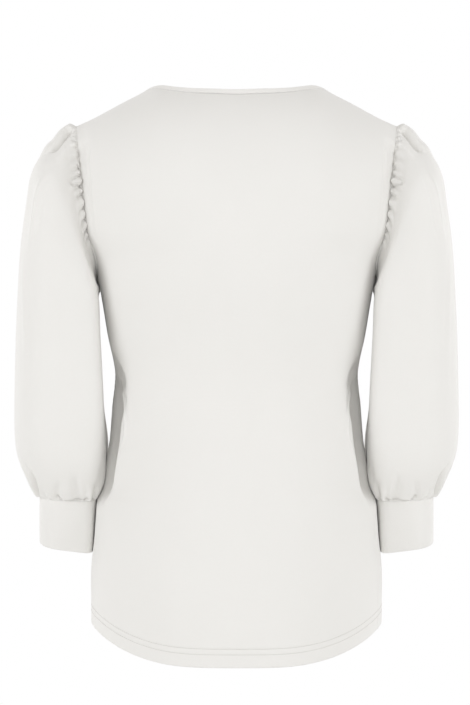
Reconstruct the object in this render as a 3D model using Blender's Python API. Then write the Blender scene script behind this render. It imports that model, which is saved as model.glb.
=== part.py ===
"""Puff-sleeve jersey top in its worn form: seven sewn pieces, each a closed wall of cloth.

Frame: metres, +Z up, +Y the way the wearer faces, +X the wearer's right hand side.
The origin is where the shoulders carry the top, midway between the two points where
the neck edge crosses the shoulder seams. A "drop" is a distance below that level.
"""

import functools
import math
from collections import namedtuple

import bmesh
import bpy
from mathutils import Vector

BACK, FRONT = -1, 1
LEFT, RIGHT = -1, 1

# Cloth and seams
CLOTH_WALL = 0.0014
BAND_WALL = 0.0022
SEAM_GAP = 0.0003
EDGE_TRIM = 0.0009          # share of a half panel that is left free for half a seam gap
BUTT_GAP = 0.00045          # gap where a sleeve or the neckband stands on a panel's edge

# Neck edge: an oval seen from above, cut through the shoulders' surface
NECK_HALF_WIDTH = 0.1035
NECK_DEPTH = {BACK: 0.065, FRONT: 0.098}
NECK_START = 0.0015         # the cut never starts nearer to the shoulder ridge than this share

# Neckband
BAND_HEIGHT = 0.0062
BAND_LEAN = {BACK: 18.0, FRONT: 10.0}
SIDE_BAND_LEAN = 38.0

# Shoulder ridge, from the middle of the neck to the shoulder point. The rows inside the
# neck edge only carry the surface on, nothing is built there.
RidgeRow = namedtuple("RidgeRow", "out drop")
SHOULDER_RIDGE = (
    RidgeRow(0.000, -0.0125),
    RidgeRow(0.050, -0.0145),
    RidgeRow(0.088, -0.0080),
    RidgeRow(0.104, 0.0005),
    RidgeRow(0.122, 0.0098),
    RidgeRow(0.140, 0.0195),
    RidgeRow(0.160, 0.0300),
    RidgeRow(0.176, 0.0370),
)
SHOULDER_X = 0.176
SHOULDER_Y = -0.003
SHOULDER_DROP = 0.037
RIDGE_ROUNDNESS = 1.6       # end slopes that give a quarter oval from ridge to chest
SLOPE_STEP = 0.02           # step down the chest row over which its slope is read
UNDERARM_DROP = 0.204
ARMHOLE_DEPTH = {BACK: 0.056, FRONT: 0.053}
CHEST_DROP = {BACK: 0.125, FRONT: 0.140}
ARMHOLE_ROW_BEND = 5.0      # how late a level row bends down or up to meet the armhole
LOWEST_ARMHOLE_PLACE = 1.9999
INSIDE_EDGE = 0.97          # share of a half panel at which its slope to the edge is read

# Hem
HEM_DROP = 0.618
HEM_RISE = 0.030
HEM_FLAT_SHARE = 0.42       # share of the half width over which the hem runs level
HEM_EASE = 1.3

HALVINGS = 30               # steps of a search by halving

# Grid of a panel
NECK_COLUMNS = 8
SHOULDER_COLUMNS = 7
YOKE_ROWS = 5
RIDGE_ROW = 0.03            # an extra row close to the shoulder ridge keeps it round
ARMHOLE_ROWS = 4
SKIRT_ROWS = 10

# Level sections of the body, top to bottom. "back" and "front" are the depths of the
# middle of each panel, "side" is how far forward the widest point lies, "square" is the
# exponent of the oval, and "seam" is the side seam's angle from the middle of the back.
BodySection = namedtuple("BodySection", "drop half_width back front side square seam")
BODY_SECTIONS = (
    BodySection(0.100, 0.1800, 0.1170, 0.0980, 0.000, 2.50, 90.0),
    BodySection(0.150, 0.1675, 0.1175, 0.1130, 0.000, 2.45, 90.0),
    BodySection(0.204, 0.1525, 0.1130, 0.1200, 0.000, 2.30, 90.0),
    BodySection(0.245, 0.1457, 0.1050, 0.1190, 0.001, 2.25, 90.0),
    BodySection(0.275, 0.1405, 0.0980, 0.1120, 0.002, 2.20, 90.0),
    BodySection(0.308, 0.1343, 0.0930, 0.1040, 0.003, 2.20, 84.0),
    BodySection(0.345, 0.1400, 0.0935, 0.1005, 0.004, 2.20, 68.0),
    BodySection(0.395, 0.1410, 0.1020, 0.1015, 0.004, 2.20, 60.0),
    BodySection(0.430, 0.1420, 0.1110, 0.1030, 0.003, 2.20, 61.0),
    BodySection(0.460, 0.1465, 0.1170, 0.1050, 0.001, 2.20, 62.0),
    BodySection(0.490, 0.1520, 0.1200, 0.1060, 0.000, 2.20, 64.0),
    BodySection(0.515, 0.1575, 0.1220, 0.1070, 0.000, 2.20, 66.0),
    BodySection(0.560, 0.1600, 0.1245, 0.1080, 0.000, 2.20, 69.0),
    BodySection(0.640, 0.1610, 0.1250, 0.1080, 0.000, 2.20, 69.0),
)

# Sections of a sleeve from the armhole to the cuff seam, by their distance down the outer
# line. Each is an oval through an outer and an inner point, "depth" front to back, with
# its middle "forward" of the shoulder and its back edge "sag" lower than its middle.
SleeveSection = namedtuple(
    "SleeveSection", "run outer_x outer_drop inner_x inner_drop depth forward sag")
SLEEVE_SECTIONS = (
    SleeveSection(0.000, 0.1762, 0.0370, 0.1530, 0.2044, 0.109, -0.001, 0.0000),
    SleeveSection(0.019, 0.1925, 0.0405, 0.1541, 0.2088, 0.116, -0.001, 0.0000),
    SleeveSection(0.050, 0.2127, 0.0619, 0.1536, 0.2155, 0.124, -0.001, 0.0000),
    SleeveSection(0.075, 0.2238, 0.0851, 0.1530, 0.2232, 0.129, -0.001, 0.0000),
    SleeveSection(0.109, 0.2304, 0.1182, 0.1525, 0.2354, 0.132, -0.001, 0.0000),
    SleeveSection(0.148, 0.2359, 0.1569, 0.1519, 0.2530, 0.134, 0.000, 0.0000),
    SleeveSection(0.204, 0.2403, 0.2122, 0.1508, 0.2785, 0.135, 0.002, 0.0000),
    SleeveSection(0.259, 0.2431, 0.2674, 0.1492, 0.3061, 0.135, 0.004, 0.0005),
    SleeveSection(0.314, 0.2448, 0.3227, 0.1473, 0.3392, 0.134, 0.008, 0.0010),
    SleeveSection(0.364, 0.2453, 0.3724, 0.1458, 0.3746, 0.131, 0.012, 0.0015),
    SleeveSection(0.392, 0.2425, 0.4000, 0.1450, 0.4033, 0.125, 0.015, 0.0020),
    SleeveSection(0.415, 0.2359, 0.4221, 0.1460, 0.4265, 0.113, 0.018, 0.0025),
    SleeveSection(0.432, 0.2280, 0.4365, 0.1500, 0.4398, 0.097, 0.020, 0.0028),
    SleeveSection(0.445, 0.2188, 0.4453, 0.1550, 0.4475, 0.084, 0.022, 0.0030),
)
CUFF_SECTIONS = (
    SleeveSection(0.000, 0.2188, 0.4453, 0.1550, 0.4475, 0.084, 0.022, 0.0030),
    SleeveSection(0.025, 0.2190, 0.4690, 0.1563, 0.4735, 0.083, 0.024, 0.0045),
    SleeveSection(0.050, 0.2190, 0.4935, 0.1582, 0.5010, 0.082, 0.026, 0.0065),
)
HEAD_EASE_RUN = 0.06        # the sleeve leaves the armhole's own outline over this run

# Gathers at the sleeve head, as angles from the shoulder point towards the back, with the
# height of the puff between one and the next and how far down the sleeve it runs.
HeadGather = namedtuple("HeadGather", "angle puff reach")
HEAD_GATHERS = (
    HeadGather(-6.0, 0.0030, 0.034),
    HeadGather(6.0, 0.0030, 0.036),
    HeadGather(17.0, 0.0042, 0.048),
    HeadGather(29.0, 0.0036, 0.040),
    HeadGather(40.0, 0.0028, 0.030),
    HeadGather(50.0, 0.0026, 0.032),
    HeadGather(61.0, 0.0030, 0.042),
    HeadGather(70.0, 0.0026, 0.030),
    HeadGather(79.0, 0.0040, 0.050),
    HeadGather(89.0, 0.0028, 0.034),
    HeadGather(98.0, 0.0026, 0.030),
    HeadGather(108.0, 0.0022, 0.036),
    HeadGather(118.0, 0.0016, 0.026),
)
LAST_GATHER_ANGLE = 127.0
PLAIN_COLUMNS = 17          # columns across the ungathered underarm
COLUMNS_PER_GATHER = 3
HEAD_RUNS = (0.0, 0.005, 0.011, 0.020, 0.034)
SLEEVE_RUNS = (0.060, 0.100, 0.148, 0.200, 0.255, 0.310, 0.355, 0.386, 0.408, 0.424, 0.435,
               0.4405, 0.445)

# Gathers at the cuff seam, as the angle at which each puff stands and its size.
CuffPuff = namedtuple("CuffPuff", "angle puff reach")
CUFF_PUFFS = (
    CuffPuff(12.0, 0.0026, 0.040),
    CuffPuff(42.0, 0.0022, 0.030),
    CuffPuff(68.0, 0.0028, 0.046),
    CuffPuff(97.0, 0.0022, 0.032),
    CuffPuff(124.0, 0.0026, 0.038),
    CuffPuff(154.0, 0.0020, 0.028),
    CuffPuff(185.0, 0.0018, 0.026),
    CuffPuff(214.0, 0.0024, 0.036),
    CuffPuff(243.0, 0.0022, 0.030),
    CuffPuff(272.0, 0.0028, 0.044),
    CuffPuff(301.0, 0.0022, 0.032),
    CuffPuff(331.0, 0.0026, 0.036),
)
CUFF_PUFF_HALF_WIDTH = 14.0
GATHER_RISE = 0.004         # a puff reaches its full height this far from its seam
ANGLE_STEP = 2.0            # steps over which the sleeve surface's slopes are read
RUN_STEP = 0.002
CUFF_COLUMNS = 40

# Larger soft folds of a sleeve: a trough from one angle and run to another.
SleeveFold = namedtuple("SleeveFold", "angle_a run_a angle_b run_b half_width depth")
SLEEVE_FOLDS = (
    SleeveFold(22.0, 0.008, 2.0, 0.046, 0.012, 0.0050),
    SleeveFold(78.0, 0.012, 62.0, 0.085, 0.012, 0.0030),
    SleeveFold(40.0, 0.404, 14.0, 0.428, 0.012, 0.0050),
)
FOLD_RADIUS = 0.055         # turns an angle round the sleeve into a distance


def smooth(value):
    """Smooth step from 0 to 1, flat at both ends."""
    value = min(max(value, 0.0), 1.0)
    return value * value * (3.0 - 2.0 * value)


def mix(first, second, share):
    """Straight blend of two numbers or vectors."""
    return first * (1.0 - share) + second * share


def hermite(start, start_slope, end, end_slope, share):
    """Cubic curve with given ends and end slopes, for numbers or vectors."""
    square = share * share
    cube = square * share
    return (start * (2.0 * cube - 3.0 * square + 1.0)
            + start_slope * (cube - 2.0 * square + share)
            + end * (3.0 * square - 2.0 * cube)
            + end_slope * (cube - square))


@functools.lru_cache(maxsize=None)
def row_at(rows, key):
    """Row of a table, sorted by its first column, read smoothly at a key between its rows."""
    keys = [row[0] for row in rows]
    last = len(rows) - 1
    key = min(max(key, keys[0]), keys[last])
    index = min(sum(1 for other in keys[1:] if other <= key), last - 1)
    span = keys[index + 1] - keys[index]
    share = (key - keys[index]) / span

    def slope(place, column):
        before = max(place - 1, 0)
        after = min(place + 1, last)
        return (rows[after][column] - rows[before][column]) / (keys[after] - keys[before])

    values = [hermite(rows[index][column], slope(index, column) * span,
                      rows[index + 1][column], slope(index + 1, column) * span, share)
              for column in range(1, len(rows[0]))]
    return type(rows[0])(key, *values)


def body_point(angle, drop):
    """Point of the body's surface at an angle (0 mid back, 180 mid front) and a drop."""
    row = row_at(BODY_SECTIONS, drop)
    power = 2.0 / row.square
    turn = math.radians(abs(angle))
    sine = max(math.sin(turn), 0.0) ** power
    cosine = abs(math.cos(turn)) ** power
    depth = -row.back - row.side if turn <= math.pi / 2.0 else row.front - row.side
    return Vector((math.copysign(row.half_width * sine, angle), row.side + depth * cosine, -drop))


def armhole_angle(face, depth, drop):
    """Angle on the body at which a panel's armhole edge has a given depth and drop."""
    row = row_at(BODY_SECTIONS, drop)
    reach = (row.back if face == BACK else row.front) - face * row.side
    share = min(max((depth - face * row.side) / reach, 0.0), 1.0)
    turn = math.degrees(math.acos(share ** (row.square / 2.0)))
    return turn if face == BACK else 180.0 - turn


def panel_angle(face, across, edge_angle):
    """Body angle of a point that lies a share of the half panel from its middle."""
    if face == BACK:
        return across * edge_angle
    return math.copysign(180.0 - abs(across) * (180.0 - edge_angle), across)


@functools.lru_cache(maxsize=None)
def armhole_row(face, across, down):
    """Panel point between the chest row (down 1) and the underarm row (down 2)."""
    turn = math.radians(90.0 * (down - 1.0))
    half_height = (UNDERARM_DROP - SHOULDER_DROP) / 2.0
    edge_drop = SHOULDER_DROP + half_height * (1.0 + math.sin(turn))
    edge_depth = ARMHOLE_DEPTH[face] * math.cos(turn)
    middle_drop = mix(CHEST_DROP[face], UNDERARM_DROP, down - 1.0)
    drop = mix(middle_drop, edge_drop, abs(across) ** ARMHOLE_ROW_BEND)
    edge_angle = armhole_angle(face, edge_depth, edge_drop)
    return body_point(panel_angle(face, across, edge_angle), drop)


def hem_drop(angle):
    """Drop of the hem at an angle of the body: level behind and in front, raised at the sides."""
    ratio = abs(math.sin(math.radians(angle)))
    rise = max((ratio - HEM_FLAT_SHARE) / (1.0 - HEM_FLAT_SHARE), 0.0) ** HEM_EASE
    return HEM_DROP - HEM_RISE * rise


def skirt_row(face, across, down):
    """Panel point between the underarm row (down 2) and the hem (down 3)."""
    share = down - 2.0
    seam = row_at(BODY_SECTIONS, mix(UNDERARM_DROP, HEM_DROP, share)).seam
    angle = panel_angle(face, across, seam)
    drop = mix(UNDERARM_DROP, hem_drop(angle), share)
    seam = row_at(BODY_SECTIONS, drop).seam
    return body_point(panel_angle(face, across, seam), drop)


def chest_width(face, across):
    """How far out a point of the chest row lies, as a share of the row's half width."""
    return armhole_row(face, across, 1.0).x / armhole_row(face, 1.0, 1.0).x


def shoulder_surface(face, across, down):
    """Surface from the shoulder ridge (down 0) over to the chest row (down 1), without a neck."""
    out = SHOULDER_X * chest_width(face, across)
    ridge = Vector((out, SHOULDER_Y * abs(out) / SHOULDER_X,
                    -row_at(SHOULDER_RIDGE, abs(out)).drop))
    chest = armhole_row(face, across, 1.0)
    below = armhole_row(face, across, 1.0 + SLOPE_STEP) - chest
    leave = Vector((0.0, (chest.y - ridge.y) * RIDGE_ROUNDNESS, 0.0))
    arrive = below * ((chest.z - ridge.z) / below.z * RIDGE_ROUNDNESS)
    return hermite(ridge, leave, chest, arrive, down)


def halve(goes_on, low, high):
    """Place between low and high where goes_on turns from true to false."""
    for _ in range(HALVINGS):
        middle = (low + high) / 2.0
        if goes_on(middle):
            low = middle
        else:
            high = middle
    return (low + high) / 2.0


def inside_neck(face, across, down):
    """Whether a point of the shoulder surface lies inside the neck's oval from above."""
    place = shoulder_surface(face, across, down)
    return math.hypot(place.x / NECK_HALF_WIDTH, place.y / NECK_DEPTH[face]) < 1.0


@functools.lru_cache(maxsize=None)
def neck_cut(face, across):
    """How far down the shoulder surface the panel starts at a place across it."""
    if abs(across) >= neck_share(face):
        return NECK_START
    return max(halve(lambda down: inside_neck(face, across, down), 0.0, 1.0), NECK_START)


def across_at(face, out):
    """Place across a panel at which its column leaves the shoulder ridge a distance out."""
    return halve(lambda across: SHOULDER_X * chest_width(face, across) < out, 0.0, 1.0)


@functools.lru_cache(maxsize=None)
def neck_share(face):
    """Share of a half panel that the neck edge takes at the top."""
    return across_at(face, NECK_HALF_WIDTH)


def yoke_row(face, across, down):
    """Panel point between the top edge (down 0) and the chest row (down 1)."""
    return shoulder_surface(face, across, mix(neck_cut(face, across), 1.0, down))


def panel_point(face, across, down):
    """Point of a panel: across -1 to 1 between its edges, down 0 at the top to 3 at the hem."""
    if down < 1.0:
        return yoke_row(face, across, down)
    if down < 2.0:
        return armhole_row(face, across, down)
    return skirt_row(face, across, down)


def armhole_place(angle):
    """Panel and place down it of an armhole point, by its angle from the shoulder point."""
    angle = (angle + 180.0) % 360.0 - 180.0
    return (BACK if angle >= 0.0 else FRONT), min(abs(angle) / 90.0, LOWEST_ARMHOLE_PLACE)


@functools.lru_cache(maxsize=None)
def armhole_point(side, angle):
    """Point of the armhole, by its angle from the shoulder point towards the back."""
    face, down = armhole_place(angle)
    return panel_point(face, side, down)


@functools.lru_cache(maxsize=None)
def armhole_edge_shift(side, angle):
    """Direction off a panel's armhole edge, half outwards from its cloth, half sideways."""
    face, down = armhole_place(angle)
    edge = panel_point(face, side, down)
    outward = edge - panel_point(face, side * INSIDE_EDGE, down)
    along = armhole_point(side, angle + ANGLE_STEP) - armhole_point(side, angle - ANGLE_STEP)
    normal = along.cross(outward).normalized()
    if normal.dot(Vector((side, face, 0.0))) < 0.0:
        normal = -normal
    return (normal + Vector((side, 0.0, 0.0))).normalized()


def section_point(side, rows, run, angle):
    """Point of a sleeve or cuff oval at an angle from its outer line towards the back."""
    row = row_at(rows, run)
    turn = math.radians(angle)
    outer = Vector((row.outer_x, 0.0, -row.outer_drop))
    inner = Vector((row.inner_x, 0.0, -row.inner_drop))
    place = (outer + inner) / 2.0 + (outer - inner) / 2.0 * math.cos(turn)
    place.y = row.forward - row.depth / 2.0 * math.sin(turn)
    place.z -= row.sag * math.sin(turn)
    place.x *= side
    return place


def sleeve_base(side, run, angle):
    """Sleeve surface before its gathers and folds."""
    place = section_point(side, SLEEVE_SECTIONS, run, angle)
    if run < HEAD_EASE_RUN:
        seam = armhole_point(side, angle) + armhole_edge_shift(side, angle) * BUTT_GAP
        fade = (1.0 - run / HEAD_EASE_RUN) ** 2
        place += (seam - section_point(side, SLEEVE_SECTIONS, 0.0, angle)) * fade
    return place


def puff_profile(run, reach):
    """Height share of a puff at a distance from its seam: quick rise, slow fall."""
    rise = smooth(run / GATHER_RISE)
    return rise * (1.0 - smooth(run / reach))


def head_angles():
    """Gather angles round the whole sleeve head, front ones mirroring those behind."""
    behind = [gather.angle for gather in HEAD_GATHERS[1:]] + [LAST_GATHER_ANGLE]
    return [-angle for angle in reversed(behind)] + behind


def head_puff(run, angle):
    """Height of the sleeve-head puffs at a run and angle."""
    size = abs(angle)
    bounds = [gather.angle for gather in HEAD_GATHERS] + [LAST_GATHER_ANGLE]
    for gather, start, end in zip(HEAD_GATHERS, bounds[:-1], bounds[1:]):
        if start <= size < end:
            wave = math.sin(math.pi * (size - start) / (end - start)) ** 2
            return gather.puff * wave * puff_profile(run, gather.reach)
    return 0.0


def cuff_puff(run, angle):
    """Height of the puffs above the cuff seam at a run and angle."""
    left = SLEEVE_SECTIONS[-1].run - run
    height = 0.0
    for puff in CUFF_PUFFS:
        away = (angle - puff.angle + 180.0) % 360.0 - 180.0
        if abs(away) < CUFF_PUFF_HALF_WIDTH:
            wave = math.cos(math.pi / 2.0 * away / CUFF_PUFF_HALF_WIDTH) ** 2
            height += puff.puff * wave * puff_profile(left, puff.reach)
    return height


def fold_depth(run, angle):
    """Depth of the larger sleeve folds at a run and angle."""
    depth = 0.0
    for fold in SLEEVE_FOLDS:
        start = Vector((math.radians(fold.angle_a) * FOLD_RADIUS, fold.run_a))
        end = Vector((math.radians(fold.angle_b) * FOLD_RADIUS, fold.run_b))
        here = Vector((math.radians(angle) * FOLD_RADIUS, run))
        along = (here - start).dot(end - start) / (end - start).length_squared
        nearest = mix(start, end, min(max(along, 0.0), 1.0))
        depth += fold.depth * (1.0 - smooth((here - nearest).length / fold.half_width))
    return depth


def sleeve_point(side, run, angle):
    """Finished point of the sleeve's outer surface."""
    angle = (angle + 180.0) % 360.0 - 180.0
    place = sleeve_base(side, run, angle)
    last = SLEEVE_SECTIONS[-1].run
    around = sleeve_base(side, run, angle + ANGLE_STEP) - sleeve_base(side, run, angle - ANGLE_STEP)
    along = (sleeve_base(side, min(run + RUN_STEP, last), angle)
             - sleeve_base(side, max(run - RUN_STEP, 0.0), angle))
    normal = around.cross(along).normalized() * side
    from_seam = min(smooth(run / GATHER_RISE), smooth((last - run) / GATHER_RISE))
    return place + normal * (head_puff(run, angle) + cuff_puff(run, angle)
                             - fold_depth(run, angle) * from_seam)


def material(name, colour, roughness):
    """Plain cloth material of one piece."""
    cloth = bpy.data.materials.new(name)
    cloth.use_nodes = True
    shader = cloth.node_tree.nodes["Principled BSDF"]
    shader.inputs["Base Color"].default_value = (*colour, 1.0)
    shader.inputs["Roughness"].default_value = roughness
    shader.inputs["Metallic"].default_value = 0.0
    return cloth


def finish(name, bm, wall, colour):
    """Turn a one-sided sheet into a named object whose wall lies inside that sheet."""
    mesh = bpy.data.meshes.new(name)
    bm.to_mesh(mesh)
    bm.free()
    mesh.shade_smooth()
    piece = bpy.data.objects.new(name, mesh)
    bpy.context.collection.objects.link(piece)
    mesh.materials.append(material(name + "_cloth", colour, 0.85))
    wall_modifier = piece.modifiers.new("wall", "SOLIDIFY")
    wall_modifier.thickness = wall
    wall_modifier.offset = -1.0
    return piece


def neck_columns(face):
    """Places across the half panel of the columns that end on the neck edge."""
    turns = [math.radians(90.0 * step / NECK_COLUMNS) for step in range(NECK_COLUMNS + 1)]
    return [across_at(face, NECK_HALF_WIDTH * math.sin(turn)) for turn in turns]


def panel_columns(face):
    """Places across a panel, with a column exactly where the neck edge meets the shoulder."""
    half = neck_columns(face)
    reach = 1.0 - EDGE_TRIM - half[-1]
    half += [half[NECK_COLUMNS] + reach * step / SHOULDER_COLUMNS
             for step in range(1, SHOULDER_COLUMNS + 1)]
    half[0] = 0.0
    return [-place for place in reversed(half[1:])] + half


def panel_rows():
    """Places down a panel, from its top edge to the hem."""
    yoke = [0.0, RIDGE_ROW] + [step / YOKE_ROWS for step in range(1, YOKE_ROWS)]
    armhole = [1.0 + step / ARMHOLE_ROWS for step in range(ARMHOLE_ROWS)]
    skirt = [2.0 + step / SKIRT_ROWS for step in range(SKIRT_ROWS + 1)]
    return yoke + armhole + skirt


def build_panel(name, face, colour):
    """One body panel, from a flat grid laid over the body's surface."""
    columns = panel_columns(face)
    rows = panel_rows()
    bm = bmesh.new()
    made = bmesh.ops.create_grid(bm, x_segments=len(columns) - 1, y_segments=len(rows) - 1,
                                 size=0.5)
    for vert in made["verts"]:
        column = round((vert.co.x + 0.5) * (len(columns) - 1))
        row = round((0.5 - vert.co.y) * (len(rows) - 1))
        vert.co = panel_point(face, columns[column], rows[row])
    if face == FRONT:
        bmesh.ops.reverse_faces(bm, faces=bm.faces)
    return finish(name, bm, CLOTH_WALL, colour)


def new_ring(bm, points):
    """Closed loop of edges through points; returns its edges."""
    verts = [bm.verts.new(point) for point in points]
    return [bm.edges.new((verts[place - 1], verts[place])) for place in range(len(verts))]


def build_tube(name, rings, wall, colour):
    """Tube through rings of points, which may differ in how many points they have."""
    bm = bmesh.new()
    loops = [new_ring(bm, ring) for ring in rings]
    for upper, lower in zip(loops[:-1], loops[1:]):
        bmesh.ops.bridge_loops(bm, edges=upper + lower)
    bmesh.ops.recalc_face_normals(bm, faces=bm.faces)
    return finish(name, bm, wall, colour)


def sleeve_angles():
    """Angles of the sleeve's columns, a fixed number to each gather, wider at the underarm."""
    gathers = head_angles()
    angles = []
    for start, end in zip(gathers[:-1], gathers[1:]):
        angles += [mix(start, end, step / COLUMNS_PER_GATHER) for step in range(COLUMNS_PER_GATHER)]
    gap = 360.0 - 2.0 * LAST_GATHER_ANGLE
    angles += [LAST_GATHER_ANGLE + gap * step / PLAIN_COLUMNS for step in range(PLAIN_COLUMNS)]
    return angles


def build_sleeve(name, side, colour):
    """One sleeve: closely spaced columns at the gathered head, half as many below it."""
    angles = sleeve_angles()
    rings = [[sleeve_point(side, run, angle) for angle in angles] for run in HEAD_RUNS]
    rings += [[sleeve_point(side, run, angle) for angle in angles[::2]] for run in SLEEVE_RUNS]
    return build_tube(name, rings, CLOTH_WALL, colour)


def build_cuff(name, side, colour):
    """One cuff, a plain band below the sleeve."""
    angles = [360.0 * step / CUFF_COLUMNS for step in range(CUFF_COLUMNS)]
    rings = [[section_point(side, CUFF_SECTIONS, row.run, angle) for angle in angles]
             for row in CUFF_SECTIONS]
    for place in rings[0]:
        place.z -= SEAM_GAP
    return build_tube(name, rings, CLOTH_WALL, colour)


def band_point(face, across, height):
    """Point of the neckband's outer face above a place on the neck edge."""
    foot = yoke_row(face, across, 0.0)
    outward = Vector((foot.x / NECK_HALF_WIDTH ** 2, foot.y / NECK_DEPTH[face] ** 2, 0.0))
    outward.normalize()
    sideways = abs(outward.x)
    lean = math.radians(mix(BAND_LEAN[face], SIDE_BAND_LEAN, sideways))
    return foot + (Vector((0.0, 0.0, math.cos(lean))) - outward * math.sin(lean)) * height


def build_neckband(name, colour):
    """The folded neckband, standing on the neck edge of both panels."""
    places = []
    for face in (BACK, FRONT):
        half = neck_columns(face)
        columns = [-place for place in reversed(half[1:])] + half
        places += [(face, face * place) for place in columns[:-1]]
    heights = (BUTT_GAP, BAND_HEIGHT / 2.0, BAND_HEIGHT)
    rings = [[band_point(face, across, height) for face, across in places]
             for height in heights]
    return build_tube(name, rings, BAND_WALL, colour)


def main():
    """Clear the scene and build the seven pieces."""
    for existing in list(bpy.data.objects):
        bpy.data.objects.remove(existing)
    ivory = (0.86, 0.85, 0.82)
    shade = (0.82, 0.81, 0.78)
    build_panel("back", BACK, ivory)
    build_panel("front", FRONT, ivory)
    for label, side in (("left", LEFT), ("right", RIGHT)):
        build_sleeve("sleeve_" + label, side, ivory)
        build_cuff("cuff_" + label, side, shade)
    build_neckband("neckband", shade)


main()
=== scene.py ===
"""Dressed model of a puff-sleeve jersey top in its worn form, hollow, seen from behind.

Frame: metres, +Z up, +Y the way the wearer faces, +X the wearer's right hand side. The
origin is where the shoulders carry the top. A "drop" is a distance below that level, an
"angle" round the body runs from the middle of the back (0) to the middle of the front
(180), and round a sleeve from its outer line (0) over the back (90) to the inner seam.
"""

import logging
import math
from dataclasses import dataclass, field
from enum import Enum, IntEnum
from typing import Callable, Iterable, NamedTuple, Sequence

import bmesh
import bpy
import numpy as np
from mathutils import Matrix, Vector


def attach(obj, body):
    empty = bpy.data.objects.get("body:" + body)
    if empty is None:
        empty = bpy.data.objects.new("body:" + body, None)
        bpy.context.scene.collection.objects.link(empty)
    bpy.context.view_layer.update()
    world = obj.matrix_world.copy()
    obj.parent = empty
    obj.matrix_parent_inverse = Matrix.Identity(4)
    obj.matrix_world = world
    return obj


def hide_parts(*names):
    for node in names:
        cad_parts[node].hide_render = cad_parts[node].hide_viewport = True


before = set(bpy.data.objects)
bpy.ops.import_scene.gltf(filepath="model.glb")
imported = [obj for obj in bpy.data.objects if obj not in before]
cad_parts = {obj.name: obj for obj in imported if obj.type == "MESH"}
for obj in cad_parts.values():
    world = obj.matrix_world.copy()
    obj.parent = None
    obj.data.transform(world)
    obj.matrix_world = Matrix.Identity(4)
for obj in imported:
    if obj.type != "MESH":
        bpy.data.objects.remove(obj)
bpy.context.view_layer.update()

LOG = logging.getLogger("top")
BODY = "root"
Array = np.ndarray


class Face(IntEnum):
    """The two body panels, as the sign of their depth."""

    BACK = -1
    FRONT = 1


class Side(IntEnum):
    """The wearer's two sides, as the sign of their distance out."""

    LEFT = -1
    RIGHT = 1


class Slot(Enum):
    """Material slots of the record."""

    JERSEY = "jersey"
    BAND = "jersey_band"


# ---- sizes of the cloth

CLOTH_WALL = 0.0009
SEAM_GAP = 0.00012          # left free between two pieces at a seam
TURN_RADIUS = 0.00095       # half the distance between the two layers of a turned edge
SEAM_TURN = 0.0014          # seam allowance that shows inside
EDGE_ROW = 0.00016          # width of the row next to a seam
TURN_STEPS = 6              # rows round the fold of a turned edge
WELD_DISTANCE = 0.000005
LINE_STEPS = 40             # straight spans that stand for one fold's line


class RidgeRow(NamedTuple):
    """Shoulder ridge: its drop at a distance out from the middle."""

    out: float
    drop: float


class BodySection(NamedTuple):
    """Level section of the body: its half width, the depths of both panels' middles, how far
    forward its widest point lies, the oval's exponent and the side seam's angle."""

    drop: float
    half_width: float
    back: float
    front: float
    side: float
    square: float
    seam: float


class ArmSection(NamedTuple):
    """Oval section of a sleeve or cuff at a distance down its outer line: its outer and
    inner points, depth, how far forward it lies, how far its back edge sags and the oval's
    exponents in its outer half and in the half towards the body."""

    run: float
    outer_x: float
    outer_drop: float
    inner_x: float
    inner_drop: float
    depth: float
    forward: float
    sag: float
    square: float
    inner_square: float


class Fold(NamedTuple):
    """A soft trough, or a ridge where its depth is negative, along a bent line.

    Ends are given in the two coordinates of the surface that it lies on. The line bows by
    "bow" in the first of them. "crisp" is 0 for a round profile, 1 for a keen one and -1 for
    a full one that ends abruptly, and the fades are the shares of the line over which its
    ends die away.
    """

    start: tuple[float, float]
    end: tuple[float, float]
    bow: float
    half_width: float
    depth: float
    crisp: float
    fade_start: float
    fade_end: float


def fold_table(*rows: tuple[float, ...]) -> tuple[Fold, ...]:
    """Folds from rows of ten numbers: both ends' coordinates, then the rest in order."""
    return tuple(Fold(row[:2], row[2:4], *row[4:]) for row in rows)


# ---- curves and tables


def smooth(value: Array | float) -> Array:
    """Smooth step from 0 to 1, flat at both ends."""
    value = np.clip(value, 0.0, 1.0)
    return value * value * (3.0 - 2.0 * value)


def mix(first: Array | float, second: Array | float, share: Array | float) -> Array:
    """Straight blend of two numbers or arrays."""
    return first + (second - first) * share


def unit(vectors: Array) -> Array:
    """Vectors scaled to a length of one."""
    return vectors / np.linalg.norm(vectors, axis=-1, keepdims=True)


def points(x: Array, y: Array, z: Array) -> Array:
    """Points from their three coordinates, which may be numbers or arrays."""
    return np.stack(np.broadcast_arrays(x, y, z), axis=-1).astype(float)


def wrapped(angle: Array) -> Array:
    """Angles brought into the range from -180 to 180 degrees."""
    return (np.asarray(angle, float) + 180.0) % 360.0 - 180.0


def banded(start: float, *bands: tuple[float, int]) -> list[float]:
    """Numbers from the start through bands, each of them evenly spread.

    Args:
        start: Where the first band starts.
        bands: The end of each band and how many numbers it has.

    Returns:
        The numbers, with the end of the last band after them.
    """
    numbers = []
    for end, count in bands:
        numbers += [start + (end - start) * step / count for step in range(count)]
        start = end
    return numbers + [start]


def read_line(key: Array, keys: Array, line: Array) -> Array:
    """Points at a key on a line whose own points lie at the keys."""
    return np.stack([np.interp(key, keys, line[:, axis]) for axis in range(3)], axis=-1)


def lengths_along(line: Array) -> Array:
    """Length of a line up to each of its points."""
    return np.concatenate([[0.0], np.cumsum(np.linalg.norm(np.diff(line, axis=0), axis=1))])


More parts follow.
